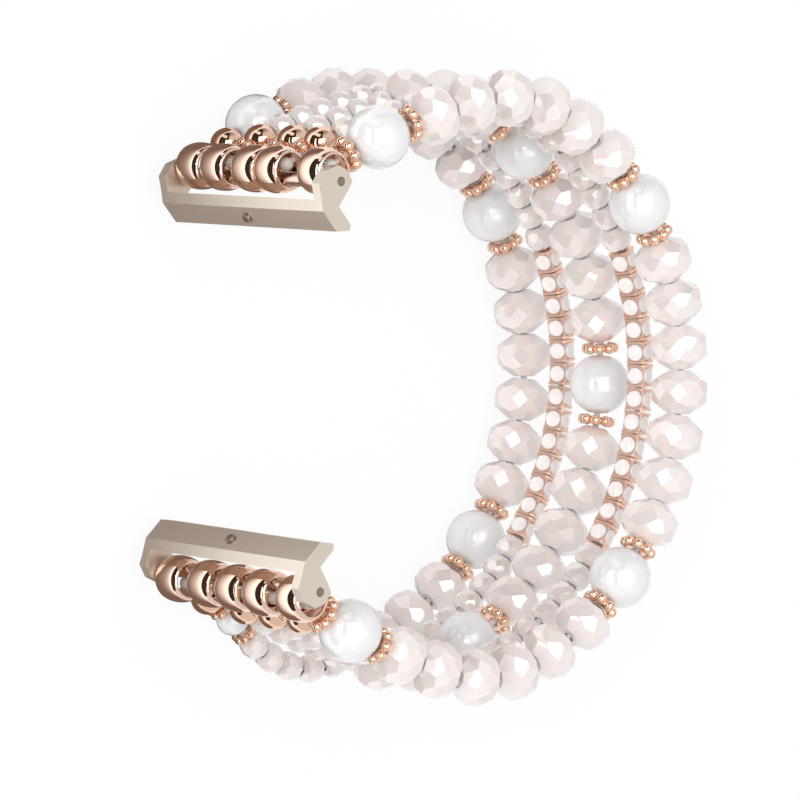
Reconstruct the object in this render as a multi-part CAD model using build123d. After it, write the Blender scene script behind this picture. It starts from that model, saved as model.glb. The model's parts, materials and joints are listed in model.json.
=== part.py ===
from build123d import *

import json
import math
import os
from dataclasses import dataclass

# Bead watch band: five strands of beads on elastic cord between two lug adapters.
# The band lies on its side, as it does when it is put down. Z is the direction across
# the wrist, from strand 1 at the bottom to strand 5 on top. X runs from the open side,
# between the adapters, to the back of the wrist, and Y from the lower end of the band
# to the upper end. Lengths are in millimetres and angles in degrees.

# Loop that every strand follows: arcs that meet at a tangent, alike above and below as
# far as the shoulders
back_radius = 31.0
back_half_turn = 66.0
shoulder_radius = 17.0
shoulder_turn = 40.0
upper_front_radius = 110.0
upper_front_turn = 4.5
upper_end_radius = 36.0
lower_front_radius = 72.0
half_cord_run = 66.8
flex_run = 30.0

# Strands: the distance between them at the back, and where each one's ring sits on
# the cross bar. The power sets how close to the rings the strands draw together.
strand_count = 5
back_pitch = 6.35
upper_ring_places = [-10.2, -6.1, -0.8, 3.05, 10.2]
lower_ring_places = [-10.2, -4.75, 0.0, 4.65, 10.2]
upper_spread_power = 5.0
lower_spread_power = 2.5

# Faceted crystals, large and small
crystal_diameter = 6.1
crystal_length = 4.6
crystal_end_flat = 1.15
small_crystal_diameter = 3.15
small_crystal_length = 2.6
small_crystal_end_flat = 0.8
crystal_facets = 8
bead_bore_radius = 0.6

# Pearls
pearl_diameter = 6.5
pearl_length = 6.2
small_pearl_diameter = 3.4
small_pearl_length = 3.3

# Daisy spacers: a flat ring with a row of granules round its rim
daisy_diameter = 4.1
daisy_thickness = 1.15
small_daisy_diameter = 3.0
small_daisy_thickness = 0.9
daisy_web_share = 0.67
granule_count = 8

# Plated balls beside the rings
ball_diameter = 3.5
ball_length = 3.1

# Chain links with a disc on each of four sides
link_length = 2.4
link_flange = 2.3
link_flange_thickness = 0.3
link_waist = 1.95
disc_diameter = 1.8
disc_thickness = 0.37
disc_pocket_depth = 0.12
disc_pocket_gap = 0.025
link_twist = 21.0

# Elastic cord and its knots
cord_radius = 0.32
knot_radius = 0.75
cord_step = 4.0
fewest_cord_legs = 3

# Gaps between beads where the band flexes, and between a bead and its ring
flex_gap = 0.45
ring_seat_gap = 0.22

# Radius at which neighbouring beads meet on the inside of a bend
bend_contact_radius = 1.2

# Slack of strand 1 in the small crystals near its lower end
slack_height = 2.4
slack_start_run = 37.0
slack_end_run = 62.0

# Large-hole rings on the cross bars
ring_diameter = 4.9
ring_length = 3.7
ring_bore_radius = 1.75
ring_rounding = 0.68
ring_cord_hole_radius = 0.55

# Cross bars with their sprung tips. The rest angle tells how far round a ring's bore
# its bar hangs, counted from the way to the open side.
bar_rest_angle = 76.0
bar_radius = 0.75
bar_bore_radius = 0.47
bar_running_gap = 0.05
tip_radius = 0.42
tip_engagement = 4.0
tip_travel = 0.9
bar_spring_wall = 0.12
bar_end_gap = 0.1

# Lug adapters: two ears and a tongue of one side profile
adapter_reach = 4.9
ear_thickness = 1.2
ear_side_gap = 0.2
ring_sweep_radius = 3.05
ear_hole_gap = 0.05

# Sprung studs that lock the tongues
stud_radius = 0.5
stud_running_gap = 0.05
stud_projection = 0.45
stud_inside = 0.5
stud_bore_depth = 1.25
stud_travel = 0.4
stud_spring_wall = 0.15

# Overrun of every cutting tool, the step that finds a direction along the loop, and
# the rounds that spread a strand's beads
overrun = 1.0
probe_run = 0.01
spread_rounds = 6

# Side profile of the upper adapter about its bar, as shares of the adapter's reach
adapter_outline_shares = [
    (-0.41, 0.20),
    (-0.10, 0.33),
    (0.12, 0.25),
    (0.29, 0.02),
    (0.20, -0.16),
    (-0.03, -0.51),
    (0.30, -0.87),
    (0.28, -0.99),
    (-0.06, -1.02),
    (-0.43, -0.63),
    (-0.50, -0.31),
    (-0.57, -0.07),
]
stud_seat_share = (-0.245, -0.825)

# Tilt of a crystal's inner and outer facet rows, as shares of a right angle, and the
# distances of its inner and diamond facets from its middle, as shares of its radius
inner_tilt_share = 0.21
outer_tilt_share = 0.6
inner_reach_share = 0.94
diamond_reach_share = 0.953

# Shares of the room around a bend of the cord: how far the fillets run along the legs,
# and how far a corner stands out from the strand
cord_fillet_share = 0.45
cord_corner_share = 0.25

# Beads of each strand, read outward from the middle of the back: C crystal, c small
# crystal, P pearl, p small pearl, D daisy, d small daisy, B ball, L chain link. The
# bar marks where the band flexes.
strand_middles = ["", "L", "P", "L", "C"]
strand_shifts = [0.0, -1.8, 0.0, -1.2, 0.0]
upper_orders = [
    "CCCDPDC|CCCCCDPB",
    "LLLLLL" + "ccccc|" + "ccccccccccc" + "Bd",
    "DCCCCDP|D" + "CCC" + "cccc" + "Bd",
    "LLLLLL" + "ccccc|" + "ccccccccccc" + "Bd",
    "CCCDPDC|CCCCCDPD",
]
lower_orders = [
    "CCCDPDC|CC" + "cccccc" + "dpdB",
    "LLLLLL" + "cccc|" + "ccccccccccc" + "Bd",
    "DCCCCCD|PD" + "CC" + "cccc" + "Bd",
    "LLLLLL" + "cccc|" + "ccccccccccc" + "Bd",
    "CCCDPDC|CCCCCDPD",
]

# Sizes that follow from the ones above
bar_offset = ring_bore_radius - bar_radius - bar_running_gap
ring_half_span = upper_ring_places[-1] + ring_length / 2
ear_inner = ring_half_span + ear_side_gap
ear_outer = ear_inner + ear_thickness
bead_run_end = half_cord_run - ring_diameter / 2 - ring_seat_gap
shared_arcs = [
    (back_radius, math.radians(back_half_turn)),
    (shoulder_radius, math.radians(shoulder_turn)),
]
upper_arcs = shared_arcs + [
    (upper_front_radius, math.radians(upper_front_turn)),
    (upper_end_radius, math.pi),
]
lower_arcs = shared_arcs + [(lower_front_radius, math.pi)]


@dataclass(frozen=True)
class BeadKind:
    """One kind of bead: its length on the cord, its solid and the name of its node."""

    length: float
    shapes: tuple
    nodes: tuple


@dataclass(frozen=True)
class PlacedBead:
    """A bead of one kind, with its strand, section and run along the loop."""

    letter: str
    strand: int
    section: str
    run: float


def height_at(run, strand):
    """Height of a strand: evenly spread at the back, at its ring's place at the end."""
    places = upper_ring_places if run > 0 else lower_ring_places
    power = upper_spread_power if run > 0 else lower_spread_power
    blend = (1 + math.cos(math.pi * (abs(run) / half_cord_run) ** power)) / 2
    spread = (strand - (strand_count - 1) / 2) * back_pitch
    return places[strand] + (spread - places[strand]) * blend


def slack_at(run, strand):
    """How far strand 1 bows outward near its lower end."""
    if strand or not slack_start_run < -run < slack_end_run:
        return 0.0
    share = (-run - slack_start_run) / (slack_end_run - slack_start_run)
    return slack_height * math.sin(math.pi * share) ** 2


def arcs_at(run):
    """The arcs of the upper or lower half of the loop."""
    return upper_arcs if run > 0 else lower_arcs


def loop_point(run, strand):
    """Centre of a strand at a signed run from the middle of the back."""
    left, turn, x, y = abs(run), 0.0, 0.0, 0.0
    for radius, arc_turn in arcs_at(run):
        step = min(arc_turn, left / radius)
        x -= radius * (math.cos(turn) - math.cos(turn + step))
        y += radius * (math.sin(turn + step) - math.sin(turn))
        turn += step
        left -= step * radius
    bow = slack_at(run, strand)
    x += bow * math.cos(turn)
    y += bow * math.sin(turn)
    return Vector(x, math.copysign(y, run), height_at(run, strand))


def loop_plane(run, strand):
    """Plane across a strand: its Z points along the cord, its X out of the loop."""
    ahead = loop_point(run + probe_run, strand) - loop_point(run - probe_run, strand)
    along = ahead.normalized()
    outward = Vector(along.Y, -along.X, 0).normalized()
    return Plane(origin=loop_point(run, strand), x_dir=outward, z_dir=along)


def bored(solid, length):
    """A bead with its hole for the cord."""
    return solid - Cylinder(bead_bore_radius, length + 2 * overrun)


def facet_rows(diameter, length, end_flat):
    """Tilt, distance from the middle and first turn of each row of facets."""
    inner = math.radians(90 * inner_tilt_share)
    outer = math.radians(90 * outer_tilt_share)
    inner_reach = diameter / 2 * inner_reach_share
    diamond_reach = diameter / 2 * diamond_reach_share
    outer_reach = end_flat * math.cos(outer) + length / 2 * math.sin(outer)
    half_facet = math.pi / crystal_facets
    return [
        (inner, inner_reach, half_facet),
        (-inner, inner_reach, half_facet),
        (0.0, diamond_reach, 0.0),
        (outer, outer_reach, 0.0),
        (-outer, outer_reach, 0.0),
    ]


def make_crystal(diameter, length, end_flat):
    """Faceted rondelle: a blank between two flat ends, cut by five rows of facets.

    The row round the middle cuts the corners between the rows beside it to diamonds.
    """
    crystal = Box(diameter * 2, diameter * 2, length)
    for tilt, reach, first_turn in facet_rows(diameter, length, end_flat):
        for index in range(crystal_facets):
            turn = first_turn + 2 * math.pi * index / crystal_facets
            normal = Vector(
                math.cos(tilt) * math.cos(turn),
                math.cos(tilt) * math.sin(turn),
                math.sin(tilt),
            )
            facet = Plane(normal * reach, z_dir=normal)
            crystal = split(crystal, facet, keep=Keep.BOTTOM)
    return bored(crystal, length)


def make_daisy(diameter, thickness):
    """Daisy spacer: a flat ring that carries a crown of granules."""
    granule_radius = thickness / 2
    row_radius = diameter / 2 - granule_radius
    spacer = Cylinder(row_radius, thickness * daisy_web_share)
    for place in PolarLocations(row_radius, granule_count):
        spacer += place * Sphere(granule_radius)
    return bored(spacer, thickness)


def make_ball(diameter, length):
    """Round bead with flat drilled ends: a pearl or a plated ball."""
    ends = Cylinder(diameter, length)
    return bored(Sphere(diameter / 2) & ends, length)


def link_sides():
    """Planes of a link's four waist faces, each with Z pointing out of the link."""
    return [
        Plane(origin=direction * (link_waist / 2), x_dir=(0, 0, 1), z_dir=direction)
        for direction in (Vector(1, 0), Vector(0, 1), Vector(-1, 0), Vector(0, -1))
    ]


def make_link():
    """Chain link: a square waist between two flanges, with a pocket in each side."""
    link = Box(link_waist, link_waist, link_length)
    flange = Box(link_flange, link_flange, link_flange_thickness)
    flange = chamfer(flange.edges().filter_by(Axis.Z), link_flange_thickness)
    for side in (-1, 1):
        height = side * (link_length - link_flange_thickness) / 2
        link += Pos(0, 0, height) * flange
    pocket_radius = disc_diameter / 2 + disc_pocket_gap
    for plane in link_sides():
        pocket = Cylinder(pocket_radius, disc_pocket_depth + overrun)
        sink = (overrun - disc_pocket_depth) / 2
        link -= plane * Pos(0, 0, sink) * pocket
    return bored(link, link_length)


def make_discs():
    """The four discs that sit in the pockets of one link."""
    height = disc_thickness / 2 - disc_pocket_depth
    disc = Cylinder(disc_diameter / 2, disc_thickness)
    rim = disc.edges().filter_by(GeomType.CIRCLE).sort_by(Axis.Z)[-1]
    disc = chamfer(rim, disc_pocket_depth / 2)
    return [plane * Pos(0, 0, height) * disc for plane in link_sides()]


def make_kinds():
    """Every kind of bead under its letter."""
    crystal = make_crystal(crystal_diameter, crystal_length, crystal_end_flat)
    small_crystal = make_crystal(
        small_crystal_diameter, small_crystal_length, small_crystal_end_flat
    )
    pearl = make_ball(pearl_diameter, pearl_length)
    small_pearl = make_ball(small_pearl_diameter, small_pearl_length)
    daisy = make_daisy(daisy_diameter, daisy_thickness)
    small_daisy = make_daisy(small_daisy_diameter, small_daisy_thickness)
    ball = make_ball(ball_diameter, ball_length)
    return {
        "C": BeadKind(crystal_length, (crystal,), ("crystals",)),
        "c": BeadKind(small_crystal_length, (small_crystal,), ("small_crystals",)),
        "P": BeadKind(pearl_length, (pearl,), ("pearl",)),
        "p": BeadKind(small_pearl_length, (small_pearl,), ("small_pearl",)),
        "D": BeadKind(daisy_thickness, (daisy,), ("daisy_spacers",)),
        "d": BeadKind(small_daisy_thickness, (small_daisy,), ("daisy_spacers",)),
        "B": BeadKind(ball_length, (ball,), ("balls",)),
        "L": BeadKind(
            link_length,
            (make_link(), *make_discs()),
            ("chain_links",) + ("chain_discs",) * 4,
        ),
    }


def bend_at(run):
    """How sharply the loop bends at a run, as one over its radius."""
    left = abs(run)
    for radius, arc_turn in arcs_at(run):
        if left <= radius * arc_turn:
            return 1 / radius
        left -= radius * arc_turn
    return 0.0


def lay_out(lengths, side, start, before, even_gap, split_index):
    """Centres of one side's beads, the end of the last one and the flex gap's middle.

    Beads that touch on the inside of a bend stand apart at the cord. The length of
    the bead before the first one is given too.
    """
    centres, run, flex_at = [], start, 0.0
    for index, length in enumerate(lengths):
        bend_gap = bend_contact_radius * bend_at(side * run) * (before + length) / 2
        gap = even_gap + bend_gap
        if index == split_index:
            gap += flex_gap
            flex_at = run + gap / 2
        run += gap + length
        centres.append(run - length / 2)
        before = length
    return centres, run, flex_at


def thread_side(kinds, strand, side, order):
    """Beads of one side of a strand, spread from the middle to the ring.

    Gives the placed beads and the run at the middle of the flex gap.
    """
    middle = strand_middles[strand]
    before = kinds[middle].length if middle else 0.0
    start = strand_shifts[strand] * side + before / 2
    letters = order.replace("|", "")
    split_index = order.index("|")
    lengths = [kinds[letter].length for letter in letters]
    even_gap = 0.0
    for _ in range(spread_rounds):
        placed = lay_out(lengths, side, start, before, even_gap, split_index)
        centres, end, flex_at = placed
        even_gap += (bead_run_end - end) / len(letters)
    section = "upper" if side > 0 else "lower"
    beads = []
    for index, (letter, centre) in enumerate(zip(letters, centres)):
        here = "back" if index < split_index else section
        beads.append(PlacedBead(letter, strand, here, side * centre))
    print(f"strand {strand + 1} {section}: gap {even_gap:.3f}, flexes at {flex_at:.2f}")
    return beads, side * flex_at


def thread_strand(kinds, strand):
    """All beads of one strand, and the runs at which its cord is cut."""
    upper, upper_flex = thread_side(kinds, strand, 1, upper_orders[strand])
    lower, lower_flex = thread_side(kinds, strand, -1, lower_orders[strand])
    middle = strand_middles[strand]
    beads = upper + lower
    if middle:
        beads.append(PlacedBead(middle, strand, "back", strand_shifts[strand]))
    return beads, (lower_flex, upper_flex)


def node_of(bead, node):
    """Name of the node that a bead belongs to."""
    if node in ("daisy_spacers", "balls"):
        return f"{bead.section}_{node}"
    if node in ("chain_links", "chain_discs"):
        return f"strand_{bead.strand + 1}_{node}"
    return f"strand_{bead.strand + 1}_{bead.section}_{node}"


def cord_route(first_run, last_run, strand):
    """Corners of a cord's legs, set out so that the filleted route keeps the strand."""
    reach = last_run - first_run
    count = max(fewest_cord_legs, round(abs(reach) / cord_step))
    runs = [first_run + reach * index / count for index in range(count + 1)]
    points = [loop_point(run, strand) for run in runs]
    route = [points[0]]
    for before, here, after in zip(points, points[1:], points[2:]):
        route.append(here + (here - (before + after) / 2) * cord_corner_share)
    return route + [points[-1]]


def cord_solid(first_run, last_run, strand):
    """Elastic cord from one run to another, in legs joined by arcs."""
    route = cord_route(first_run, last_run, strand)
    radii = []
    for before, corner, after in zip(route, route[1:], route[2:]):
        turn = math.radians((corner - before).get_angle(after - corner))
        shorter = min((corner - before).length, (after - corner).length)
        widest = cord_fillet_share * shorter / math.tan(turn / 2)
        radii.append(min(widest, upper_front_radius))
    path = FilletPolyline(*route, radius=radii)
    start = Plane(origin=route[0], z_dir=route[1] - route[0])
    return sweep(start * Circle(cord_radius), path=path)


def knotted_cord(flex_at, strand):
    """Cord from the flex gap into the ring, where its knot holds it."""
    side = 1 if flex_at > 0 else -1
    knot_run = side * (half_cord_run - bar_offset)
    cord = cord_solid(flex_at + side * cord_radius / 2, knot_run, strand)
    return cord + Pos(loop_point(knot_run, strand)) * Sphere(knot_radius)


def make_ring(side, strand):
    """Large-hole ring on the cross bar, with the hole where its cord comes in."""
    ring = Cylinder(ring_diameter / 2, ring_length)
    ring = fillet(ring.edges().filter_by(GeomType.CIRCLE), ring_rounding)
    ring -= Cylinder(ring_bore_radius, ring_length + overrun)
    centre = loop_plane(side * half_cord_run, strand)
    inward = centre.z_dir * -side
    tool = Plane(origin=(0, 0, 0), z_dir=inward) * Cylinder(
        ring_cord_hole_radius,
        ring_diameter,
        align=(Align.CENTER, Align.CENTER, Align.MIN),
    )
    return Pos(centre.origin) * (ring - tool)


def bar_centre(side):
    """Middle of a cross bar, where it hangs in the rings' bores."""
    ring_centre = loop_point(side * half_cord_run, 0)
    rest = math.radians(bar_rest_angle)
    hang = Vector(-math.cos(rest), -side * math.sin(rest)) * bar_offset
    return Vector(ring_centre.X, ring_centre.Y) + hang


def make_bar():
    """Cross bar: a tube between the ears."""
    length = 2 * (ear_inner - bar_end_gap)
    return Cylinder(bar_radius, length) - Cylinder(bar_bore_radius, length + overrun)


def make_tip(side):
    """Sprung tip at one end of a cross bar, flush with the outside of its ear."""
    inside = ear_inner - tip_engagement
    length = ear_outer - inside
    return Pos(0, 0, side * (inside + length / 2)) * Cylinder(tip_radius, length)


def make_bar_spring():
    """Spring between the two tips, as the sleeve that its turns fill."""
    length = 2 * (ear_inner - tip_engagement)
    sleeve = Cylinder(tip_radius, length)
    return sleeve - Cylinder(tip_radius - bar_spring_wall, length + overrun)


def adapter_point(share, side):
    """A point of the adapter's side profile; the lower end mirrors the upper one."""
    return Vector(share[0] * adapter_reach, side * share[1] * adapter_reach)


def stud_plane(side):
    """Plane on the tongue's inner face, at the stud, with Z pointing out of it."""
    first = adapter_point(adapter_outline_shares[8], side)
    second = adapter_point(adapter_outline_shares[9], side)
    along = (second - first).normalized()
    out = Vector(along.Y, -along.X) * -side
    seat = (first + second) / 2
    return Plane(origin=seat, x_dir=(0, 0, 1), z_dir=out)


def make_adapter(side):
    """Lug adapter: one profile across the band, cut away between its two ears."""
    points = [adapter_point(share, side) for share in adapter_outline_shares]
    outline = make_face(Polyline(*points, close=True))
    body = extrude(outline, ear_outer, both=True)
    body -= Cylinder(ring_sweep_radius, 2 * ear_inner)
    body -= Cylinder(tip_radius + ear_hole_gap, 2 * ear_outer + overrun)
    bore = Cylinder(stud_radius + stud_running_gap, stud_bore_depth + overrun)
    body -= stud_plane(side) * Pos(0, 0, (overrun - stud_bore_depth) / 2) * bore
    return body


def make_stud(side):
    """Lock stud with a domed nose, in its bore in the tongue."""
    length = stud_inside + stud_projection
    stud = Pos(0, 0, stud_projection - length / 2) * Cylinder(stud_radius, length)
    nose = stud.edges().filter_by(GeomType.CIRCLE).sort_by(Axis.Z)[-1]
    return stud_plane(side) * fillet(nose, stud_projection / 2)


def make_stud_spring(side):
    """Spring under the lock stud, as the sleeve that its turns fill when pressed."""
    length = stud_bore_depth - stud_inside - stud_travel
    sleeve = Cylinder(stud_radius, length)
    sleeve -= Cylinder(stud_radius - stud_spring_wall, length + overrun)
    return stud_plane(side) * Pos(0, 0, length / 2 - stud_bore_depth) * sleeve


def add_beads(nodes, places):
    """Threads all the strands and files each bead under its node."""
    kinds = make_kinds()
    pearls_seen = {}
    for strand in range(strand_count):
        beads, (lower_flex, upper_flex) = thread_strand(kinds, strand)
        for bead in sorted(beads, key=lambda each: each.run):
            plane = loop_plane(bead.run, strand)
            kind = kinds[bead.letter]
            spin = Rot(0, 0, link_twist) if bead.letter == "L" else Rot(0, 0, 0)
            for shape, node in zip(kind.shapes, kind.nodes):
                name = node_of(bead, node)
                if node.endswith("pearl"):
                    pearls_seen[name] = pearls_seen.get(name, 0) + 1
                    name = f"{name}_{pearls_seen[name]}"
                    places[name] = (plane.origin, plane.z_dir)
                nodes.setdefault(name, []).append(plane.location * spin * shape)
        cut = cord_radius / 2
        nodes.setdefault("back_cords", []).append(
            cord_solid(lower_flex + cut, upper_flex - cut, strand)
        )
        nodes.setdefault("upper_cords", []).append(knotted_cord(upper_flex, strand))
        nodes.setdefault("lower_cords", []).append(knotted_cord(lower_flex, strand))


def add_end(nodes, places, side, name):
    """Rings, cross bar, adapter and sprung pieces of one end of the band."""
    nodes[f"{name}_rings"] = [make_ring(side, index) for index in range(strand_count)]
    at_bar = Pos(bar_centre(side))
    nodes[f"{name}_cross_bar"] = [at_bar * make_bar()]
    nodes[f"{name}_bar_spring"] = [at_bar * make_bar_spring()]
    nodes[f"{name}_top_bar_tip"] = [at_bar * make_tip(1)]
    nodes[f"{name}_bottom_bar_tip"] = [at_bar * make_tip(-1)]
    nodes[f"{name}_lug_adapter"] = [at_bar * make_adapter(side)]
    nodes[f"{name}_lock_stud"] = [at_bar * make_stud(side)]
    nodes[f"{name}_stud_spring"] = [at_bar * make_stud_spring(side)]
    stud = stud_plane(side)
    places[f"{name}_bar"] = (bar_centre(side), Vector(0, 0, 1))
    places[f"{name}_stud"] = (bar_centre(side) + stud.origin, -stud.z_dir)
    middle_strand = (strand_count - 1) // 2
    flex_point = loop_point(side * flex_run, middle_strand)
    places[f"{name}_flex"] = (flex_point, Vector(0, 0, 1))


def main():
    """Builds every node, sets the band down on its lowest beads and writes the files."""
    nodes, places = {}, {}
    add_beads(nodes, places)
    add_end(nodes, places, 1, "upper")
    add_end(nodes, places, -1, "lower")
    everything = [solid for solids in nodes.values() for solid in solids]
    box = Compound(everything).bounding_box()
    middle = box.center()
    shift = Vector(-middle.X, -middle.Y, -box.min.Z)
    os.makedirs("parts", exist_ok=True)
    for name, solids in nodes.items():
        moved = [Pos(shift) * solid for solid in solids]
        export_step(Compound(moved), f"parts/{name}.step")
    summary = {
        name: [[round(value, 4) for value in pair] for pair in (point + shift, way)]
        for name, (point, way) in places.items()
    }
    print("places", json.dumps(summary))
    print("box", box.size, "shift", shift)
    print("nodes", len(nodes))


main()
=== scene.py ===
"""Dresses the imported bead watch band: beads, plating, adapters, studio and camera."""

import json
import logging
import math
from dataclasses import dataclass, field
from enum import Enum

import bmesh
import bpy
import numpy as np
from mathutils import Matrix


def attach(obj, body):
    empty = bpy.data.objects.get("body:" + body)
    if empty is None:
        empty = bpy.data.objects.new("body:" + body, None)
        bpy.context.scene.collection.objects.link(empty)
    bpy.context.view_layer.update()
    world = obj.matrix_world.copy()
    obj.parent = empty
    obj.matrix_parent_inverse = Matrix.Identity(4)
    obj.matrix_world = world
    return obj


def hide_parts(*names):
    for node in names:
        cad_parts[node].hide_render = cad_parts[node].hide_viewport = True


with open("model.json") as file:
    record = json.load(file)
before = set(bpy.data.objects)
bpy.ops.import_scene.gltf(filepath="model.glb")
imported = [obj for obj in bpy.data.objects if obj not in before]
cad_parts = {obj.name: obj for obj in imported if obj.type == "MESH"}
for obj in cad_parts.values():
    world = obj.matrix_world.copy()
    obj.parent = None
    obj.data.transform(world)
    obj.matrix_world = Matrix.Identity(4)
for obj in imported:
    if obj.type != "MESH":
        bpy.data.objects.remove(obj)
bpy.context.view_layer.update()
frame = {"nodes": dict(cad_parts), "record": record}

log = logging.getLogger("bead_band")
MM = 0.001
Array = np.ndarray
Colour = tuple[float, float, float, float]
Corner = tuple[float, float, float]
Socket = bpy.types.NodeSocket


class Part(Enum):
    """Material slots of the record, each with a finish of its own."""

    CRYSTAL = "crystal"
    PEARL = "pearl"
    COPPER = "copper_plate"
    ROSE_GOLD = "rose_gold"
    CHAIN = "chain_frame"
    DISC = "chain_disc"
    ADAPTER = "champagne_steel"
    PIN = "pin_steel"
    BAR = "bar_steel"
    CORD = "elastic"
    SPRING = "spring_steel"


class NodeTree:
    """Nodes of a material or of the room, added and joined with few words."""

    def __init__(self, holder: bpy.types.ID, output: str) -> None:
        """Starts an empty tree.

        Args:
            holder: The material or world that holds the nodes.
            output: Type of its output node.
        """
        holder.use_nodes = True
        self.holder = holder
        self.tree = holder.node_tree
        self.tree.nodes.clear()
        self.output = self.tree.nodes.new(output)
        self.coords = self.tree.nodes.new("ShaderNodeTexCoord")

    @classmethod
    def of_material(cls, name: str) -> "NodeTree":
        """Starts a new material's tree."""
        return cls(bpy.data.materials.new(name), "ShaderNodeOutputMaterial")

    def add(self, kind: str, **values: object) -> bpy.types.Node:
        """Adds a node and sets its properties.

        Args:
            kind: Name of the node's type.
            **values: Properties of the node.

        Returns:
            The new node.
        """
        node = self.tree.nodes.new(kind)
        for key, value in values.items():
            setattr(node, key, value)
        return node

    def join(self, source: Socket, target: Socket) -> None:
        """Joins an output to an input."""
        self.tree.links.new(source, target)

    def noise(self, scale: float, detail: float = 3.0) -> Socket:
        """Noise on the object's own coordinates.

        Args:
            scale: Number of grains per metre.
            detail: Octaves of the noise.

        Returns:
            The noise value from 0 to 1.
        """
        node = self.add("ShaderNodeTexNoise")
        node.inputs["Scale"].default_value = scale
        node.inputs["Detail"].default_value = detail
        self.join(self.coords.outputs["Object"], node.inputs["Vector"])
        return node.outputs["Fac"]

    def span(self, value: Socket, low: float, high: float) -> Socket:
        """Maps a value from 0 to 1 onto a range.

        Args:
            value: The value to map.
            low: Result at 0.
            high: Result at 1.

        Returns:
            The mapped value.
        """
        node = self.add("ShaderNodeMapRange")
        node.inputs["To Min"].default_value = low
        node.inputs["To Max"].default_value = high
        self.join(value, node.inputs["Value"])
        return node.outputs["Result"]

    def calculate(
        self, operation: str, first: Socket, second: Socket | float | None = None
    ) -> Socket:
        """Works on one or two values.

        Args:
            operation: Name of the operation.
            first: The first value.
            second: The second value, a socket or a number.

        Returns:
            The result.
        """
        node = self.add("ShaderNodeMath", operation=operation)
        self.join(first, node.inputs[0])
        if isinstance(second, Socket):
            self.join(second, node.inputs[1])
        elif second is not None:
            node.inputs[1].default_value = second
        return node.outputs[0]

    def along(self, direction: Array, kind: str = "Generated") -> Socket:
        """How far the coordinates reach along a direction.

        Args:
            direction: The direction, of length 1.
            kind: The room's own directions as Generated, or a place as Object.

        Returns:
            The product of the coordinates and the direction.
        """
        node = self.add("ShaderNodeVectorMath", operation="DOT_PRODUCT")
        self.join(self.coords.outputs[kind], node.inputs[0])
        node.inputs[1].default_value = direction.tolist()
        return node.outputs["Value"]

    def step(self, value: Socket, start: float, end: float) -> Socket:
        """A soft step from 0 to 1.

        Args:
            value: The value to judge.
            start: Where the step leaves 0.
            end: Where it reaches 1.

        Returns:
            The step's value.
        """
        node = self.add("ShaderNodeMapRange", interpolation_type="SMOOTHSTEP")
        node.inputs["From Min"].default_value = start
        node.inputs["From Max"].default_value = end
        self.join(value, node.inputs["Value"])
        return node.outputs["Result"]

    def blend(self, value: Socket, first: Colour, second: Colour) -> Socket:
        """Runs from one colour to another.

        Args:
            value: Share of the second colour.
            first: Colour at 0.
            second: Colour at 1.

        Returns:
            The blended colour.
        """
        node = self.add("ShaderNodeMix", data_type="RGBA")
        colours = [s for s in node.inputs if s.type == "RGBA"]
        colours[0].default_value = first
        colours[1].default_value = second
        self.join(value, node.inputs["Factor"])
        return [s for s in node.outputs if s.type == "RGBA"][0]

    def bump(self, value: Socket, height: float) -> Socket:
        """Turns a value into small relief.

        Args:
            value: The height from 0 to 1.
            height: Relief in metres.

        Returns:
            The bumped normal.
        """
        node = self.add("ShaderNodeBump")
        node.inputs["Distance"].default_value = height
        self.join(value, node.inputs["Height"])
        return node.outputs["Normal"]

    def show(self, shader: Socket) -> None:
        """Joins a shader to the surface of the output."""
        self.join(shader, self.output.inputs["Surface"])

    def principled(self) -> bpy.types.Node:
        """Adds the main shader and shows it.

        Returns:
            The shader node.
        """
        shader = self.add("ShaderNodeBsdfPrincipled")
        self.show(shader.outputs["BSDF"])
        return shader

    def matt(self, colour: Colour) -> Socket:
        """Adds a matt shader.

        Args:
            colour: Its colour.

        Returns:
            The shader's output.
        """
        shader = self.add("ShaderNodeBsdfDiffuse")
        shader.inputs["Color"].default_value = colour
        return shader.outputs["BSDF"]


@dataclass(frozen=True)
class Finish:
    """A finish: two close colours that drift into each other, gloss and fine relief.

    Scales are numbers of patches or grains per metre.
    """

    name: str
    colour: Colour
    drift: Colour
    roughness: tuple[float, float] = (0.1, 0.2)
    metallic: float = 0.0
    coat: float = 0.0
    coat_ior: float = 1.5
    coat_roughness: float = 0.03
    subsurface: float = 0.0
    subsurface_reach: float = 1.0 * MM
    ior: float = 1.5
    drift_scale: float = 300.0
    grain_scale: float = 2500.0
    grain_detail: float = 4.0
    grain_height: float = 0.0

    def material(self) -> bpy.types.Material:
        """Builds the finish's material.

        Returns:
            The material.
        """
        nodes = NodeTree.of_material(self.name)
        shader = nodes.principled()
        drift = nodes.noise(self.drift_scale)
        grain = nodes.noise(self.grain_scale, self.grain_detail)
        nodes.join(
            nodes.blend(drift, self.colour, self.drift), shader.inputs["Base Color"]
        )
        nodes.join(nodes.span(grain, *self.roughness), shader.inputs["Roughness"])
        if self.grain_height:
            nodes.join(nodes.bump(grain, self.grain_height), shader.inputs["Normal"])
        constants = {
            "Metallic": self.metallic,
            "Coat Weight": self.coat,
            "Coat Roughness": self.coat_roughness,
            "Coat IOR": self.coat_ior,
            "Subsurface Weight": self.subsurface,
            "Subsurface Scale": self.subsurface_reach,
            "IOR": self.ior,
        }
        for socket, value in constants.items():
            shader.inputs[socket].default_value = value
        return nodes.holder


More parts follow.
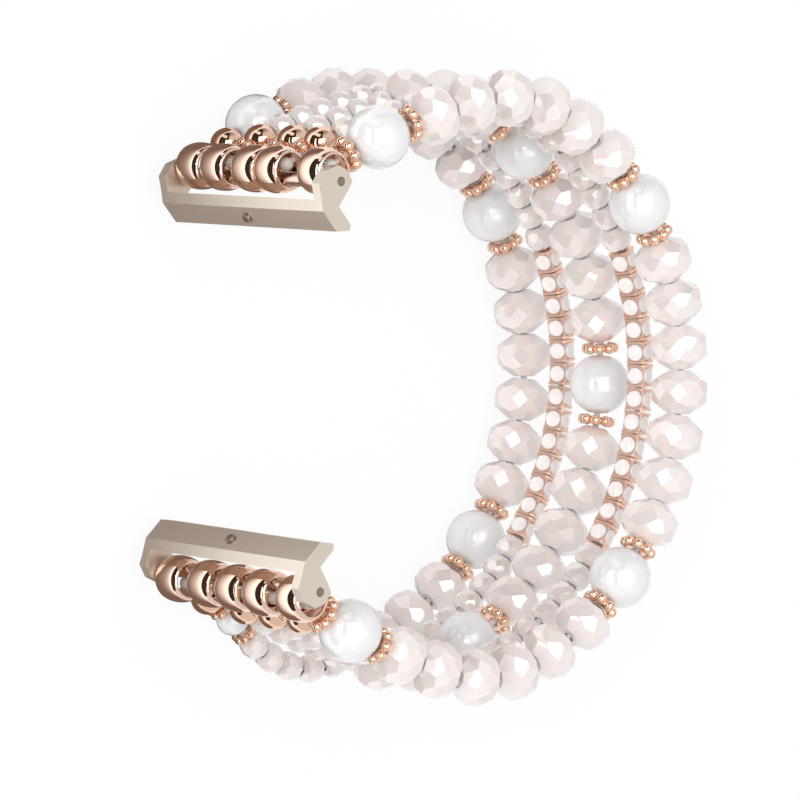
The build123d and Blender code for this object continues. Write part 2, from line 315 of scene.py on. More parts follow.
FINISHES: dict[Part, Finish] = {
    Part.CRYSTAL: Finish(
        "milky_crystal",
        (0.775, 0.705, 0.69, 1.0),
        (0.85, 0.79, 0.775, 1.0),
        roughness=(0.04, 0.08),
        coat=1.0,
        coat_ior=2.35,
        subsurface=0.4,
        ior=1.6,
        drift_scale=160.0,
    ),
    Part.PEARL: Finish(
        "pearl_lustre",
        (0.83, 0.84, 0.85, 1.0),
        (0.74, 0.75, 0.77, 1.0),
        roughness=(0.14, 0.22),
        coat=1.0,
        coat_ior=1.9,
        subsurface=0.2,
        drift_scale=140.0,
        grain_scale=320.0,
        grain_height=0.5 * MM,
    ),
    Part.COPPER: Finish(
        "copper_plate",
        (0.91, 0.59, 0.44, 1.0),
        (0.93, 0.66, 0.51, 1.0),
        roughness=(0.05, 0.10),
        metallic=1.0,
        grain_scale=4000.0,
    ),
    Part.ROSE_GOLD: Finish(
        "rose_gold_plate",
        (0.92, 0.66, 0.54, 1.0),
        (0.94, 0.70, 0.59, 1.0),
        roughness=(0.03, 0.06),
        metallic=1.0,
    ),
    Part.CHAIN: Finish(
        "chain_rose_gold",
        (0.95, 0.65, 0.52, 1.0),
        (0.96, 0.72, 0.60, 1.0),
        roughness=(0.30, 0.42),
        metallic=1.0,
    ),
    Part.DISC: Finish(
        "disc_lacquer",
        (0.98, 0.91, 0.90, 1.0),
        (0.95, 0.87, 0.86, 1.0),
        roughness=(0.06, 0.10),
        coat=1.0,
        subsurface=0.1,
    ),
    Part.ADAPTER: Finish(
        "champagne_adapter",
        (0.72, 0.64, 0.54, 1.0),
        (0.77, 0.69, 0.60, 1.0),
        roughness=(0.25, 0.36),
        metallic=0.75,
        grain_scale=6000.0,
        grain_height=0.004 * MM,
    ),
    Part.PIN: Finish(
        "pin_end_steel",
        (0.26, 0.21, 0.16, 1.0),
        (0.33, 0.27, 0.21, 1.0),
        roughness=(0.30, 0.45),
        metallic=0.9,
        grain_scale=8000.0,
        grain_height=0.004 * MM,
    ),
    Part.BAR: Finish(
        "bar_steel",
        (0.86, 0.70, 0.60, 1.0),
        (0.88, 0.74, 0.65, 1.0),
        roughness=(0.10, 0.20),
        metallic=1.0,
    ),
    Part.CORD: Finish(
        "elastic_cord",
        (0.88, 0.84, 0.82, 1.0),
        (0.92, 0.89, 0.87, 1.0),
        roughness=(0.4, 0.55),
        coat=0.3,
        subsurface=0.3,
        grain_scale=9000.0,
        grain_height=0.01 * MM,
    ),
    Part.SPRING: Finish(
        "spring_wire",
        (0.60, 0.58, 0.55, 1.0),
        (0.66, 0.64, 0.61, 1.0),
        roughness=(0.2, 0.35),
        metallic=1.0,
    ),
}


def nodes_with(words: str) -> list[str]:
    """Gives the CAD nodes whose names hold the words."""
    return [name for name in frame["nodes"] if words in name]


def slots_of_nodes() -> dict[str, str]:
    """Gives the material slot of every CAD node."""
    return {row["node"]: row["material_slot"] for row in frame["record"]["subparts"]}


@dataclass
class Wardrobe:
    """Makes each finish once and puts it on CAD nodes and new pieces."""

    made: dict[Part, bpy.types.Material] = field(default_factory=dict)

    def material(self, part: Part) -> bpy.types.Material:
        """Gives the material of a part, building it the first time.

        Args:
            part: The finish that is asked for.

        Returns:
            Its material.
        """
        if part not in self.made:
            self.made[part] = FINISHES[part].material()
        return self.made[part]

    def dress_nodes(self) -> None:
        """Gives every CAD node the material of its slot in the record."""
        slots = slots_of_nodes()
        for name, node in frame["nodes"].items():
            material = self.material(Part(slots[name]))
            node.data.materials.clear()
            node.data.materials.append(material)
        log.info("dressed %d nodes", len(frame["nodes"]))


@dataclass
class Surface:
    """A surface as whole arrays: its points and its faces of four and three corners."""

    points: Array
    quads: Array
    triangles: Array

    def repeated(self, centres: Array, frames: Array) -> "Surface":
        """Copies the surface to many places: point = centre + frame times point.

        Args:
            centres: One row for each copy.
            frames: One matrix for each copy, with its axes in the columns.

        Returns:
            All the copies as one surface.
        """
        count, size = len(centres), len(self.points)
        moved = np.einsum("kij,nj->kni", frames, self.points) + centres[:, None, :]
        first = (np.arange(count) * size)[:, None, None]
        quads = (self.quads[None] + first).reshape(-1, 4)
        triangles = (self.triangles[None] + first).reshape(-1, 3)
        return Surface(moved.reshape(-1, 3), quads, triangles)

    def with_others(self, others: list["Surface"]) -> "Surface":
        """Adds other surfaces to this one.

        Args:
            others: The surfaces to add.

        Returns:
            All of them as one surface.
        """
        points, quads, triangles = [self.points], [self.quads], [self.triangles]
        start = len(self.points)
        for other in others:
            points.append(other.points)
            quads.append(other.quads + start)
            triangles.append(other.triangles + start)
            start += len(other.points)
        return Surface(np.vstack(points), np.vstack(quads), np.vstack(triangles))

    def mesh(self, name: str) -> bpy.types.Mesh:
        """Puts the surface into a smooth mesh.

        Args:
            name: Name of the mesh.

        Returns:
            The mesh.
        """
        mesh = bpy.data.meshes.new(name)
        faces = self.quads.tolist() + self.triangles.tolist()
        mesh.from_pydata(self.points.tolist(), [], faces)
        mesh.shade_smooth()
        return mesh


def turned(profile: Array, segments: int) -> Surface:
    """Carries a closed profile round the Z axis.

    A profile point (r, h) at the angle a lies at (r cos a, r sin a, h). The profile
    runs upward on its outer side, so that the faces point out of the wall.

    Args:
        profile: Rows of radius and height, without the first one again at the end.
        segments: Number of angles.

    Returns:
        The surface, closed both ways.
    """
    rows = len(profile)
    angle = np.linspace(0.0, 2 * np.pi, segments, endpoint=False)
    radius, height = profile[:, :1], profile[:, 1:]
    points = np.stack(
        [
            radius * np.cos(angle),
            radius * np.sin(angle),
            np.broadcast_to(height, (rows, segments)),
        ],
        axis=-1,
    )
    row, column = np.meshgrid(np.arange(rows), np.arange(segments), indexing="ij")
    row_after, column_after = (row + 1) % rows, (column + 1) % segments
    quads = np.stack(
        [
            row * segments + column,
            row * segments + column_after,
            row_after * segments + column_after,
            row_after * segments + column,
        ],
        axis=-1,
    )
    none = np.empty((0, 3), dtype=int)
    return Surface(points.reshape(-1, 3), quads.reshape(-1, 4), none)


def turned_solid(profile: Array, segments: int) -> Surface:
    """Carries an open profile round the Z axis and closes it with a point at each end.

    The formula is the one of `turned`. The first and last rows of the profile are its
    two points on the axis, and give one vertex each.

    Args:
        profile: Rows of radius and height, from the lowest point to the highest.
        segments: Number of angles.

    Returns:
        The closed surface.
    """
    wall = turned(profile[1:-1], segments)
    rows = len(profile) - 2
    quads = wall.quads.reshape(rows, segments, 4)[:-1].reshape(-1, 4)
    ends = np.array([[0.0, 0.0, profile[0, 1]], [0.0, 0.0, profile[-1, 1]]])
    low, high = len(wall.points), len(wall.points) + 1
    column = np.arange(segments)
    after = (column + 1) % segments
    last = (rows - 1) * segments
    bottom = np.stack([np.full(segments, low), after, column], axis=-1)
    top = np.stack([np.full(segments, high), last + column, last + after], axis=-1)
    return Surface(np.vstack([wall.points, ends]), quads, np.vstack([bottom, top]))


def frame_along(axis: Array) -> Array:
    """Three unit vectors in columns, the third along the axis.

    Args:
        axis: Direction of the third vector.

    Returns:
        The matrix.
    """
    third = axis / np.linalg.norm(axis)
    helper = np.eye(3)[np.argmin(np.abs(third))]
    first = np.cross(helper, third)
    first = first / np.linalg.norm(first)
    return np.stack([first, np.cross(third, first), third], axis=-1)


@dataclass(frozen=True)
class Solid:
    """One solid of a CAD node: its middle, its vertices and the spread of its skin."""

    centre: Array
    vertices: Array
    spread: Array

    @property
    def reach(self) -> float:
        """Distance from the middle to the farthest vertex."""
        return float(np.linalg.norm(self.vertices - self.centre, axis=1).max())

    def thin_axis(self) -> Array:
        """Direction in which the skin spreads least."""
        return np.linalg.eigh(self.spread)[1][:, 0]

    def bore_axis(self, share: float) -> Array:
        """Direction from one rim of the bore to the other.

        Args:
            share: Share of the reach within which only the rims' vertices lie.

        Returns:
            The unit vector.
        """
        away = self.vertices - self.centre
        rims = away[np.linalg.norm(away, axis=1) < share * self.reach]
        return np.linalg.eigh(rims.T @ rims)[1][:, -1]


def component_labels(count: int, edges: Array) -> Array:
    """Labels of the connected groups of vertices.

    Each vertex takes the lowest label at either end of its edges, and then the label
    of its own label, until nothing changes.

    Args:
        count: Number of vertices.
        edges: Pairs of vertices.

    Returns:
        One label for each vertex.
    """
    labels = np.arange(count)
    while True:
        before = labels.copy()
        low = np.minimum(labels[edges[:, 0]], labels[edges[:, 1]])
        np.minimum.at(labels, edges[:, 0], low)
        np.minimum.at(labels, edges[:, 1], low)
        labels = labels[labels]
        if np.array_equal(before, labels):
            return labels


def solids_of(node: str) -> list[Solid]:
    """Reads the solids of a CAD node from its mesh.

    The middle is the mean of the tetrahedra that the triangles make with one point,
    by their volumes. The spread adds, for each triangle of area A and middle c,
    A / 12 times the sum of v v' over its corners and 9 c c'.

    Args:
        node: Name of the node.

    Returns:
        Its solids, in the order of their first vertices.
    """
    mesh = frame["nodes"][node].data
    mesh.calc_loop_triangles()
    raw = np.empty(len(mesh.vertices) * 3)
    mesh.vertices.foreach_get("co", raw)
    corners = np.empty(len(mesh.loop_triangles) * 3, dtype=np.int32)
    mesh.loop_triangles.foreach_get("vertices", corners)
    points, merged = np.unique(raw.reshape(-1, 3), axis=0, return_inverse=True)
    corners = merged.reshape(-1)[corners].reshape(-1, 3)
    edges = np.vstack([corners[:, :2], corners[:, 1:]])
    labels = component_labels(len(points), edges)
    solids = []
    for label in np.unique(labels):
        triangles = points[corners[labels[corners[:, 0]] == label]]
        vertices = points[labels == label]
        start = vertices.mean(axis=0)
        away = triangles - start
        volumes = np.einsum("ij,ij->i", away[:, 0], np.cross(away[:, 1], away[:, 2]))
        centre = start + volumes @ away.sum(axis=1) / 4 / volumes.sum()
        away = triangles - centre
        sides = np.cross(away[:, 1] - away[:, 0], away[:, 2] - away[:, 0])
        areas = np.linalg.norm(sides, axis=1) / 2
        middles = away.mean(axis=1)
        spread = np.einsum("t,tki,tkj->ij", areas / 12, away, away)
        spread += 9 * np.einsum("t,ti,tj->ij", areas / 12, middles, middles)
        solids.append(Solid(centre, vertices, spread))
    return solids


@dataclass
class PieceMaker:
    """Puts surfaces into the scene in place of CAD nodes."""

    wardrobe: Wardrobe

    def replace(self, node: str, surface: Surface) -> bpy.types.Object:
        """Makes a piece of a surface that stands for a CAD node."""
        return self.replace_by_mesh(node, surface.mesh(node))

    def replace_by_mesh(self, node: str, mesh: bpy.types.Mesh) -> bpy.types.Object:
        """Makes a piece that stands for a CAD node, on the node's body and slot.

        Args:
            node: The node that it stands for.
            mesh: The piece's mesh, in metres.

        Returns:
            The piece.
        """
        name = f"{node}_finished"
        piece = bpy.data.objects.new(name, mesh)
        bpy.context.scene.collection.objects.link(piece)
        bodies = frame["record"]["behaviour"]["bodies"]
        body = next(name for name, nodes in bodies.items() if node in nodes)
        slots = slots_of_nodes()
        piece.data.materials.append(self.wardrobe.material(Part(slots[node])))
        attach(piece, body)
        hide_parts(node)
        log.info("%s: %d points, rides on %s", name, len(mesh.vertices), body)
        return piece


@dataclass
class RoundBead:
    """A pearl or a plated ball with its drilled hole."""

    diameter: float
    length: float
    hole_radius: float = 0.45 * MM
    segments: int = 56
    rows: int = 36
    hole_rows: int = 5

    def surface(self) -> Surface:
        """Turns the bead.

        The outer side is r = R cos t, h = R sin t for t between the two rims. The
        hole is a line of one radius, and a flat joins it to the rim at each end.

        Returns:
            The bead's surface about its own middle.
        """
        radius, half = self.diameter / 2, self.length / 2
        rim = min(math.asin(half / radius), math.acos(self.hole_radius / radius))
        angle = np.linspace(-rim, rim, self.rows)
        outer = np.stack([radius * np.cos(angle), radius * np.sin(angle)], axis=-1)
        top = outer[-1, 1]
        height = np.linspace(top, -top, self.hole_rows)
        hole = np.stack([np.full_like(height, self.hole_radius), height], axis=-1)
        return turned(np.vstack([outer, hole]), self.segments)


@dataclass
class Pearls:
    """All the pearls, each on its own spinning body."""

    large: RoundBead = field(
        default_factory=lambda: RoundBead(diameter=6.5 * MM, length=6.2 * MM)
    )
    small: RoundBead = field(
        default_factory=lambda: RoundBead(diameter=3.4 * MM, length=3.3 * MM)
    )

    def build(self, maker: PieceMaker) -> None:
        """Makes one piece for each pearl node."""
        joints = {row["child"]: row for row in frame["record"]["behaviour"]["joints"]}
        for node in nodes_with("pearl"):
            bead = self.small if "small_pearl" in node else self.large
            axis = np.array(joints[node]["axis"], dtype=float)
            centre = solids_of(node)[0].centre
            surface = bead.surface().repeated(centre[None], frame_along(axis)[None])
            maker.replace(node, surface)


@dataclass
class Balls:
    """Plated balls beside the rings."""

    bead: RoundBead = field(
        default_factory=lambda: RoundBead(
            diameter=3.5 * MM, length=3.1 * MM, segments=40, rows=24
        )
    )
    rim_share: float = 0.975

    def build(self, maker: PieceMaker) -> None:
        """Makes one piece for each node of balls."""
        for node in ("upper_balls", "lower_balls"):
            solids = solids_of(node)
            centres = np.array([solid.centre for solid in solids])
            frames = np.array(
                [frame_along(solid.bore_axis(self.rim_share)) for solid in solids]
            )
            maker.replace(node, self.bead.surface().repeated(centres, frames))


@dataclass
class DaisySpacer:
    """One daisy spacer: a soft ring that carries a crown of granules."""

    diameter: float
    thickness: float
    granules: int = 8
    hole_radius: float = 0.5 * MM
    web_share: float = 0.67
    corner_power: float = 0.6
    segments: int = 32
    rows: int = 20
    granule_segments: int = 12
    granule_rows: int = 9

    def surface(self) -> Surface:
        """Builds the ring and its granules.

        The ring's section is a squared circle: x = a sgn(cos t) |cos t|^q and
        y = b sgn(sin t) |sin t|^q about its middle, with q the corner power. A granule
        is a ball r = g cos t, h = g sin t.

        Returns:
            The spacer's surface about its own middle.
        """
        granule = self.thickness / 2
        row_radius = self.diameter / 2 - granule
        half_width = (row_radius - self.hole_radius) / 2
        half_height = self.thickness * self.web_share / 2
        angle = np.linspace(0.0, 2 * np.pi, self.rows, endpoint=False)
        circle = np.stack([np.cos(angle), np.sin(angle)], axis=-1)
        squared = np.sign(circle) * np.abs(circle) ** self.corner_power
        middle = (self.hole_radius + half_width, 0.0)
        profile = squared * (half_width, half_height) + middle
        web = turned(profile, self.segments)
        tilt = np.linspace(-np.pi / 2, np.pi / 2, self.granule_rows)
        ball_profile = granule * np.stack([np.cos(tilt), np.sin(tilt)], axis=-1)
        ball = turned_solid(ball_profile, self.granule_segments)
        around = np.linspace(0.0, 2 * np.pi, self.granules, endpoint=False)
        places = np.stack([np.cos(around), np.sin(around), 0 * around], axis=-1)
        frames = np.broadcast_to(np.eye(3), (self.granules, 3, 3))
        crown = ball.repeated(row_radius * places, frames)
        return web.with_others([crown])


@dataclass
class Daisies:
    """All the daisy spacers of the three sections."""

    large: DaisySpacer = field(
        default_factory=lambda: DaisySpacer(diameter=4.1 * MM, thickness=1.15 * MM)
    )
    small: DaisySpacer = field(
        default_factory=lambda: DaisySpacer(diameter=3.0 * MM, thickness=0.9 * MM)
    )
    large_reach: float = 1.8 * MM

    def build(self, maker: PieceMaker) -> None:
        """Makes one piece for each node of daisies."""
        for node in nodes_with("daisy_spacers"):
            groups: dict[bool, list[Solid]] = {True: [], False: []}
            for solid in solids_of(node):
                groups[solid.reach > self.large_reach].append(solid)
            surfaces = []
            for is_large, solids in groups.items():
                if not solids:
                    continue
                spacer = self.large if is_large else self.small
                centres = np.array([solid.centre for solid in solids])
                frames = np.array([frame_along(solid.thin_axis()) for solid in solids])
                surfaces.append(spacer.surface().repeated(centres, frames))
            maker.replace(node, surfaces[0].with_others(surfaces[1:]))


@dataclass
class Rings:
    """Large-hole rings on the cross bars."""

    diameter: float = 4.9 * MM
    length: float = 3.7 * MM
    bore_radius: float = 1.75 * MM
    barrel_power: float = 2.2
    segments: int = 80
    rows: int = 40
    bore_rows: int = 6

    def surface(self) -> Surface:
        """Turns one ring about Z.

        The outer side is r = b + (R - b) (1 - |s|^p)^(1/2) at the height h = s L / 2,
        with s = sin t for t from -90 to 90 degrees. The bore is a line at r = b.

        Returns:
            The ring's surface about its own middle.
        """
        wall = self.diameter / 2 - self.bore_radius
        tilt = np.linspace(-np.pi / 2, np.pi / 2, self.rows)
        share = np.sin(tilt)
        rise = np.sqrt(np.clip(1 - np.abs(share) ** self.barrel_power, 0.0, 1.0))
        radius = self.bore_radius + wall * rise
        outer = np.stack([radius, share * self.length / 2], axis=-1)
        half = self.length / 2
        height = np.linspace(half, -half, self.bore_rows + 2)[1:-1]
        bore = np.stack([np.full_like(height, self.bore_radius), height], axis=-1)
        return turned(np.vstack([outer, bore]), self.segments)

    def build(self, maker: PieceMaker) -> None:
        """Makes one piece for each node of rings; every ring's axis is Z."""
        for node in ("upper_rings", "lower_rings"):
            solids = solids_of(node)
            centres = []
            for solid in solids:
                low, high = solid.vertices.min(axis=0), solid.vertices.max(axis=0)
                centres.append((low + high) / 2)
            frames = np.broadcast_to(np.eye(3), (len(solids), 3, 3))
            maker.replace(node, self.surface().repeated(np.array(centres), frames))


@dataclass
class ChainDiscs:
    """Domed lacquer discs in the sides of the chain links."""

    diameter: float = 1.8 * MM
    thickness: float = 0.37 * MM
    edge_drop: float = 0.14 * MM
    dome: float = 0.21 * MM
    face_shares: tuple[float, ...] = (1.0, 0.85, 0.6, 0.3, 0.0)
    segments: int = 20

    def surface(self) -> Surface:
        """Turns one disc, with its back flat and its face a low dome.

        The face is h = t / 2 - e + d (1 - (r / R)^2), with e the drop of its edge and
        d the dome's height, and the edge is upright.

        Returns:
            The disc's surface about its own middle, its face towards +Z.
        """
        radius, half = self.diameter / 2, self.thickness / 2
        share = np.array(self.face_shares)
        height = half - self.edge_drop + self.dome * (1 - share**2)
        face = np.stack([radius * share, height], axis=-1)
        back = np.array([[0.0, -half], [radius, -half]])
        return turned_solid(np.vstack([back, face]), self.segments)

    def build(self, maker: PieceMaker) -> None:
        """Makes one piece for each strand's discs, all facing out of their links."""
        for node in nodes_with("chain_discs"):
            links = solids_of(node.replace("discs", "links"))
            middles = np.array([link.centre for link in links])
            centres, frames = [], []
            for disc in solids_of(node):
                away = disc.centre - middles
                out = away[np.argmin(np.linalg.norm(away, axis=1))]
                axis = disc.thin_axis()
                centres.append(disc.centre)
                frames.append(frame_along(axis * np.sign(axis @ out)))
            surface = self.surface().repeated(np.array(centres), np.array(frames))
            maker.replace(node, surface)


@dataclass
class SoftEdges:
    """CAD nodes whose sharp edges get the narrow round that polishing leaves.

    Angles are in radians.
    """

    widths: dict[str, float] = field(
        default_factory=lambda: {
            "lug_adapter": 0.14 * MM,
            "chain_links": 0.05 * MM,
        }
    )
    weld: float = 0.001 * MM
    flat_angle: float = 0.02
    sharp_angle: float = 0.5
    steps: int = 2
    roundness: float = 0.5

    def rounded(self, node: str, width: float) -> bpy.types.Mesh:
        """Copies a node's mesh, merges it and rounds its sharp edges.

        Args:
            node: The node to copy.
            width: Width of the round at each edge.

        Returns:
            The new mesh.
        """
        work = bmesh.new()
        work.from_mesh(frame["nodes"][node].data)
        bmesh.ops.remove_doubles(work, verts=work.verts, dist=self.weld)
        bmesh.ops.dissolve_limit(
            work, angle_limit=self.flat_angle, verts=work.verts, edges=work.edges
        )
        sharp = [
            edge
            for edge in work.edges
            if edge.is_manifold and edge.calc_face_angle(0.0) > self.sharp_angle
        ]
        bmesh.ops.bevel(
            work,
            geom=sharp,
            offset=width,
            segments=self.steps,
            profile=self.roundness,
            affect="EDGES",
            clamp_overlap=True,
        )
        mesh = bpy.data.meshes.new(node)
        work.to_mesh(mesh)
        work.free()
        return mesh

    def build(self, maker: PieceMaker) -> None:
        """Makes one piece for each node whose name holds a key of the widths."""
        for words, width in self.widths.items():
            for node in nodes_with(words):
                maker.replace_by_mesh(node, self.rounded(node, width))


def placement(first: Array, second: Array, third: Array, place: Array) -> Matrix:
    """Matrix of an object from its three axes and its place, in metres."""
    columns = np.stack([first, second, third, place], axis=-1)
    return Matrix([*columns.tolist(), [0.0, 0.0, 0.0, 1.0]])


@dataclass
class Camera:
    """Camera at the photograph's angle: angles in degrees, lengths in millimetres.

    The target appears to the right of and above the picture's middle by the offset.
    """

    azimuth: float = 50.774
    elevation: float = 2.527
    roll: float = 2.839
    focal_pixels: float = 4621.7
    distance: float = 500.0
    target: tuple[float, float, float] = (23.6601, 0.1107, 15.95)
    offset: tuple[float, float] = (21.631, 1.711)
    frame_pixels: int = 800
    sensor: float = 36.0
    clip_start: float = 10.0

    def axes(self) -> tuple[Array, Array, Array]:
        """Works out the camera's right, up and back directions.

        Returns:
            The three unit vectors.
        """
        turn, lift, roll = (
            math.radians(angle) for angle in (self.azimuth, self.elevation, self.roll)
        )
        back = np.array(
            [
                -math.cos(turn) * math.cos(lift),
                math.sin(lift),
                math.sin(turn) * math.cos(lift),
            ]
        )
        level = np.array([math.sin(turn), 0.0, math.cos(turn)])
        upright = np.cross(back, level)
        right = level * math.cos(roll) + upright * math.sin(roll)
        up = upright * math.cos(roll) - level * math.sin(roll)
        return right, up, back

    def build(self) -> None:
        """Creates the camera and makes it the scene's own."""
        right, up, back = self.axes()
        place = np.array(self.target) + back * self.distance
        place = place - right * self.offset[0] - up * self.offset[1]
        data = bpy.data.cameras.new("camera")
        data.sensor_width = self.sensor
        data.lens = self.focal_pixels / self.frame_pixels * self.sensor
        data.clip_start = self.clip_start * MM
        camera = bpy.data.objects.new("camera", data)
        camera.matrix_world = placement(right, up, back, place * MM)
        bpy.context.scene.collection.objects.link(camera)
        bpy.context.scene.camera = camera
        log.info("camera at %s", camera.matrix_world.translation)


@dataclass(frozen=True)
class Softbox:
    """A soft lamp: its way from the band in the photograph's view, size and glow.

    Lengths are in metres.
    """

    name: str
    aside: float
    above: float
    toward: float
    distance: float
    size: tuple[float, float]
    radiance: float


@dataclass
class Studio:
    """Pale floor, soft lamps and the room that the metal mirrors.

    The card, the sheet and the dark strip of the room give the polished rings their
    dark bands, and the sheet's glow is painted shade and painted highlight in their
    reflections. Lengths are in metres, and the numbers of the strip and of the room's
    fades are shares of a unit vector in the camera's directions.
    """

    camera: Camera
    white: Colour = (1.0, 1.0, 1.0, 1.0)
    floor_half: float = 1.5
    floor_colour: Colour = (0.90, 0.90, 0.90, 1.0)
    background_share: float = 0.9
    room_strength: float = 0.76
    wall_colour: Colour = (1.0, 0.99, 0.98, 1.0)
    dark_colour: Colour = (0.05, 0.035, 0.03, 1.0)
    facing_fade: tuple[float, float] = (-0.1, 0.2)
    end_shade: float = 0.6
    end_fade: tuple[float, float] = (0.7, 0.95)
    card_place: float = -0.065
    card_half: float = 0.075
    card_top: float = 0.032
    sheet_end: float = -0.010
    sheet_lift: float = 0.0001
    # painted shade and painted highlight of the glowing sheet seen in reflections: its
    # fade along X, glow strength and brown shade colour
    painted_shade_fade: tuple[float, float] = (-0.050, -0.026)
    painted_reflection_strength: float = 1.5
    painted_shade_colour: Colour = (0.14, 0.10, 0.08, 1.0)
    strip_middle: float = -0.15
    strip_half: float = 0.42
    strip_foot: tuple[float, float] = (-0.5, -0.2)
    lamps: tuple[Softbox, ...] = (
        Softbox(
            "right_softbox",
            aside=0.30,
            above=0.02,
            toward=0.95,
            distance=0.8,
            size=(0.86, 0.86),
            radiance=1.7,
        ),
        Softbox(
            "left_softbox",
            aside=-0.64,
            above=0.05,
            toward=0.77,
            distance=0.8,
            size=(0.34, 0.70),
            radiance=2.3,
        ),
        Softbox(
            "top_softbox",
            aside=-0.35,
            above=0.85,
            toward=0.55,
            distance=0.8,
            size=(0.6, 0.3),
            radiance=1.0,
        ),
        Softbox(
            "glint",
            aside=-0.10,
            above=0.12,
            toward=0.98,
            distance=0.9,
            size=(0.07, 0.16),
            radiance=26.0,
        ),
    )

    def build_floor(self) -> None:
        """Lays the floor; what looks at it directly sees mostly plain white."""
        half = self.floor_half
        corners = [(-half, -half), (half, -half), (half, half), (-half, half)]
        floor, nodes = self.lay_sheet("floor", [(x, y, 0.0) for x, y in corners])
        glow = nodes.add("ShaderNodeEmission")
        glow.inputs["Color"].default_value = self.white
        rays = nodes.add("ShaderNodeLightPath").outputs
        seen = nodes.calculate(
            "MAXIMUM", rays["Is Camera Ray"], rays["Is Transmission Ray"]
        )
        mix = nodes.add("ShaderNodeMixShader")
        share = nodes.calculate("MULTIPLY", seen, self.background_share)
        nodes.join(share, mix.inputs["Fac"])
        nodes.join(nodes.matt(self.floor_colour), mix.inputs[1])
        nodes.join(glow.outputs["Emission"], mix.inputs[2])
        nodes.show(mix.outputs["Shader"])

    def lay_sheet(
        self, name: str, corners: list[Corner]
    ) -> tuple[bpy.types.Object, NodeTree]:
        """Adds a flat face with a material of its own.

        Args:
            name: Name of the face.
            corners: Its four corners in order, in metres.

        Returns:
            The object and the empty node tree of its material.
        """
        mesh = bpy.data.meshes.new(name)
        mesh.from_pydata(corners, [], [(0, 1, 2, 3)])
        sheet = bpy.data.objects.new(name, mesh)
        bpy.context.scene.collection.objects.link(sheet)
        nodes = NodeTree.of_material(name)
        mesh.materials.append(nodes.holder)
        return sheet, nodes

    def hang_card(self, name: str, corners: list[Corner]) -> NodeTree:
        """Adds a flat card that shows only in polished surfaces.

        Args:
            name: Name of the card.
            corners: Its four corners in order, in metres.

        Returns:
            The empty node tree of its material.
        """
        card, nodes = self.lay_sheet(name, corners)
        card.visible_camera = False
        card.visible_diffuse = False
        card.visible_shadow = False
        card.visible_transmission = False
        return nodes

    def build_card(self) -> None:
        """Stands a dark card beyond the open side of the band."""
        place, half, top = self.card_place, self.card_half, self.card_top
        edge = [(half, 0.0), (-half, 0.0), (-half, top), (half, top)]
        corners = [(place, y, z) for y, z in edge]
        nodes = self.hang_card("dark_card", corners)
        nodes.show(nodes.matt(self.dark_colour))

    def build_sheet(self) -> None:
        """Lays a sheet on the floor under the ends of the band.

        It is seen only in polished surfaces, and its glow is painted reflection.
        Painted shade, a brown glow under the ends in place of the floor's shadow there,
        runs softly to a painted highlight at the dark card, brighter than the lit
        floor, so it depends on the place along X alone.
        """
        far, near, half = self.card_place, self.sheet_end, self.card_half
        edge = [(far, -half), (near, -half), (near, half), (far, half)]
        corners = [(x, y, self.sheet_lift) for x, y in edge]
        # a glowing sheet of painted shade and painted highlight, seen only in polished
        # surfaces
        nodes = self.hang_card("painted_shade_sheet", corners)
        place = nodes.along(np.array([1.0, 0.0, 0.0]), "Object")
        # painted shade: the glow darkens from bright at the card to brown under the
        # band's ends, in place of the floor's shadow
        shade = nodes.step(place, *self.painted_shade_fade)
        glow = nodes.add("ShaderNodeEmission")
        # painted highlight: at the card end this glow is brighter than the lit floor it
        # stands for
        glow.inputs["Strength"].default_value = self.painted_reflection_strength
        nodes.join(
            nodes.blend(shade, self.wall_colour, self.painted_shade_colour),
            glow.inputs["Color"],
        )
        nodes.show(glow.outputs["Emission"])

    def build_room(self) -> None:
        """Fills the room with two pale walls beside the dark end where one stands.

        The room's brightness depends on its own directions: it is dark within a strip
        that runs up from the photograph's viewpoint, pale to both sides of it and
        below it, and it dims straight above.
        """
        world = bpy.data.worlds.new("room")
        bpy.context.scene.world = world
        nodes = NodeTree(world, "ShaderNodeOutputWorld")
        right, up, back = self.camera.axes()
        offset = nodes.calculate("SUBTRACT", nodes.along(right), self.strip_middle)
        aside = nodes.calculate("ABSOLUTE", offset)
        height = nodes.along(up)
        facing = nodes.step(nodes.along(back), *self.facing_fade)
        narrow = nodes.calculate("LESS_THAN", aside, self.strip_half)
        raised = nodes.step(height, *self.strip_foot)
        strip = nodes.calculate("MULTIPLY", facing, narrow)
        dark = nodes.calculate("MULTIPLY", strip, raised)
        end = nodes.step(height, *self.end_fade)
        top = nodes.calculate("MULTIPLY", end, self.end_shade)
        shade = nodes.calculate("MAXIMUM", dark, top)
        background = nodes.add("ShaderNodeBackground")
        background.inputs["Strength"].default_value = self.room_strength
        nodes.join(
            nodes.blend(shade, self.wall_colour, self.dark_colour),
            background.inputs["Color"],
        )
        nodes.show(background.outputs["Background"])

    def build_lamp(self, lamp: Softbox) -> None:
        """Hangs a soft lamp that looks at the band.

        Args:
            lamp: The lamp's place in the view, size and brightness.
        """
        right, up, back = self.camera.axes()
        way = lamp.aside * right + lamp.above * up + lamp.toward * back
        way = way / np.linalg.norm(way)
        side = np.cross(up, way)
        side = side / np.linalg.norm(side)
        place = np.array(self.camera.target) * MM + way * lamp.distance
        data = bpy.data.lights.new(lamp.name, "AREA")
        data.shape = "RECTANGLE"
        data.size, data.size_y = lamp.size
        data.energy = lamp.radiance * math.pi * lamp.size[0] * lamp.size[1]
        holder = bpy.data.objects.new(lamp.name, data)
        holder.matrix_world = placement(side, np.cross(way, side), way, place)
        bpy.context.scene.collection.objects.link(holder)

    def build(self) -> None:
        """Builds the floor, the room and the lamps."""
        self.build_floor()
        self.build_card()
        self.build_sheet()
        self.build_room()
        for lamp in self.lamps:
            self.build_lamp(lamp)
        log.info("studio built")


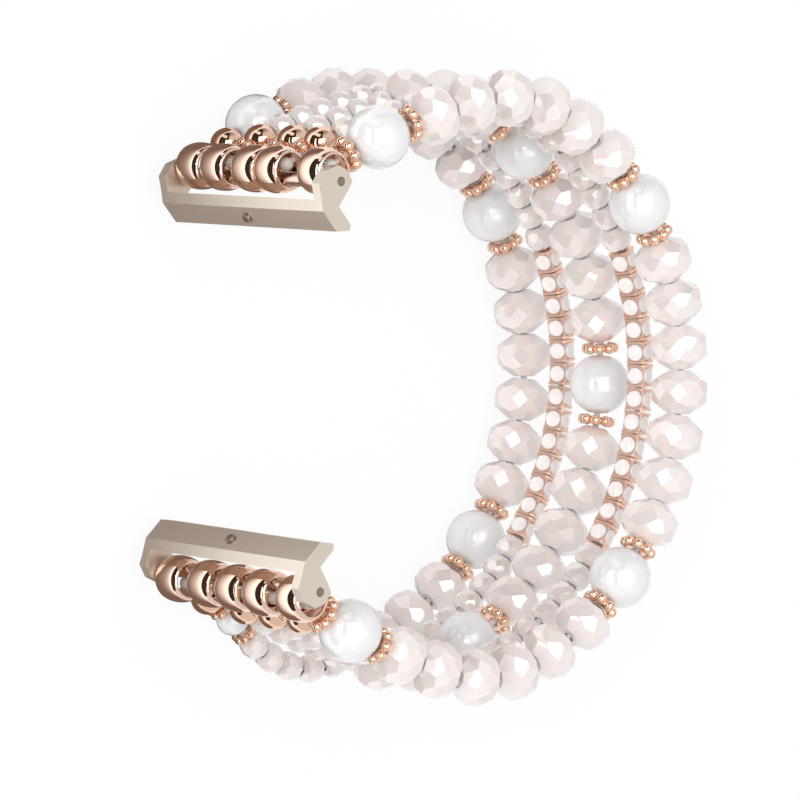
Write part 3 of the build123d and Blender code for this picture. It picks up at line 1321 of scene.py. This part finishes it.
def main() -> None:
    """Builds the studio, the camera and the dressed band."""
    logging.basicConfig(level=logging.INFO)
    bpy.context.scene.view_settings.view_transform = "Standard"
    camera = Camera()
    camera.build()
    Studio(camera).build()
    wardrobe = Wardrobe()
    wardrobe.dress_nodes()
    maker = PieceMaker(wardrobe)
    Pearls().build(maker)
    Balls().build(maker)
    Daisies().build(maker)
    Rings().build(maker)
    ChainDiscs().build(maker)
    SoftEdges().build(maker)


if __name__ == "__main__":
    main()
